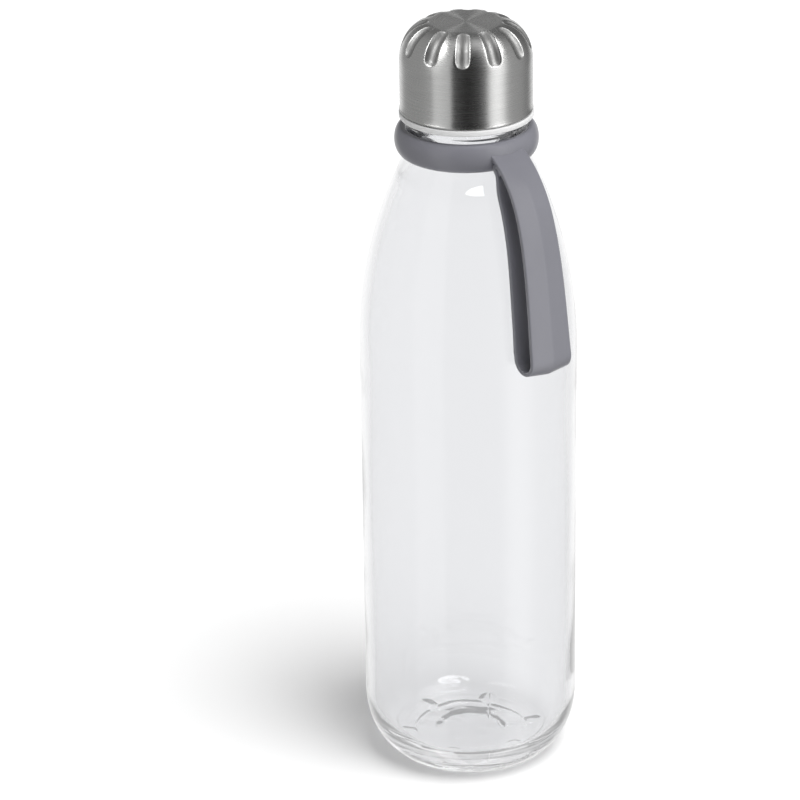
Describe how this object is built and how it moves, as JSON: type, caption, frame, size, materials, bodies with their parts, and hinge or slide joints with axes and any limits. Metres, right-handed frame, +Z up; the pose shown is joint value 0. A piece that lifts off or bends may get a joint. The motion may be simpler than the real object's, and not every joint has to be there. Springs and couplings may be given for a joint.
{
  "type": "glass water bottle",
  "caption": "Round glass bottle with a tapered shoulder, a fluted steel screw cap and a silicone neck ring with a carry loop.",
  "frame": {"origin": "centre of the foot on the bottle's axis, on the surface it stands on", "axes": "+Z up along the bottle's axis; the carry loop lies midway between +X and -Y"},
  "size_m": [0.0746, 0.0746, 0.26],
  "materials": {
    "glass": "clear, fire polished",
    "steel": "brushed round the cap",
    "liner": "white polypropylene, satin",
    "gasket": "milky silicone",
    "silicone": "grey silicone, satin"
  },
  "bodies": {
    "bottle": {"glass_bottle": "glass"},
    "gasket": {"cap_gasket": "gasket"},
    "cap": {"cap_shell": "steel", "cap_insert": "liner"},
    "ring": {"neck_ring": "silicone"},
    "strap": {"strap_loop": "silicone"}
  },
  "joints": [
    {"name": "cap_lift", "type": "slide", "parent": "bottle", "child": "gasket", "axis": [0, 0, 1], "range_m": [0, 0.0141]},
    {"name": "cap_turn", "type": "hinge", "parent": "gasket", "child": "cap", "pos_m": [0, 0, 0.24], "axis": [0, 0, 1], "range_deg": [0, 560]},
    {"name": "ring_turn", "type": "hinge", "parent": "bottle", "child": "ring", "pos_m": [0, 0, 0.2208], "axis": [0, 0, 1], "continuous": true},
    {"name": "strap_flex", "type": "hinge", "parent": "ring", "child": "strap", "pos_m": [0.01768, -0.01768, 0.2182], "axis": [-0.7071, -0.7071, 0], "range_deg": [0, 85], "stiffness_Nm_per_rad": 0.005}
  ],
  "couplings": [
    {"joint": "cap_lift", "follows": "cap_turn", "m_per_rad": 0.0014324}
  ]
}
